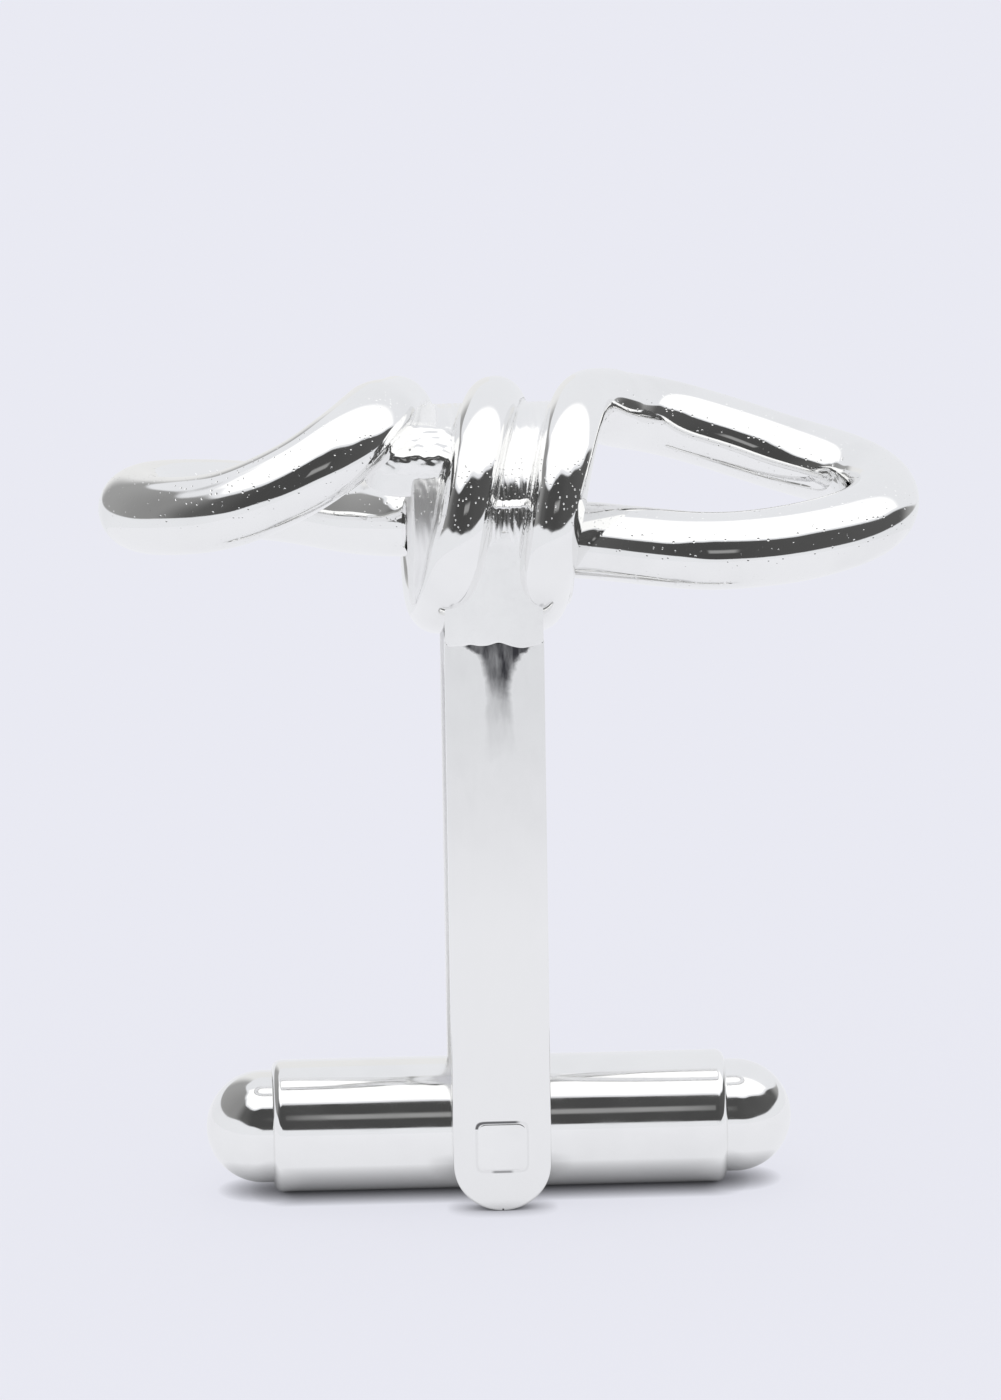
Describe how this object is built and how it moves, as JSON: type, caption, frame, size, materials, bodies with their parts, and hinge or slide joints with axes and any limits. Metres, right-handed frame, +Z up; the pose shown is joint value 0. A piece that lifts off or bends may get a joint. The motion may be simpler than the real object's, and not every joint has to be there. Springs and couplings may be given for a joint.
{
  "type": "cufflink",
  "caption": "Polished wire-knot cufflink: looped head on a forked post with a swivelling bullet-shaped toggle, stored standing on its closed toggle.",
  "frame": {"origin": "on the surface that the cufflink stands on, under the middle of the hinge pin (mount stand)", "axes": "+Z up along the post, X along the knot and the closed toggle, front towards -Y"},
  "size_m": [0.0257, 0.0094, 0.0265],
  "materials": {
    "silver": "polished silver",
    "core_silver": "polished silver with marks running round",
    "solder": "uneven silver solder",
    "pin_steel": "polished flush with the leg",
    "spring_steel": "rolled strip"
  },
  "bodies": {
    "head": {"left_loop": "silver", "right_loop": "silver", "wrap_coil": "silver", "knot_core": "core_silver", "seat_solder": "solder", "post_frame": "silver", "hinge_pin": "pin_steel"},
    "toggle": {"toggle_barrel": "silver", "toggle_tip_left": "silver", "toggle_tip_right": "silver", "leaf_spring_upper": "spring_steel", "leaf_spring_lower": "spring_steel"}
  },
  "joints": [
    {"name": "toggle_swivel", "type": "hinge", "parent": "head", "child": "toggle", "pos_m": [0, 0, 0.0021], "axis": [0, 1, 0], "continuous": true, "deforming": ["leaf_spring_upper", "leaf_spring_lower"]}
  ]
}
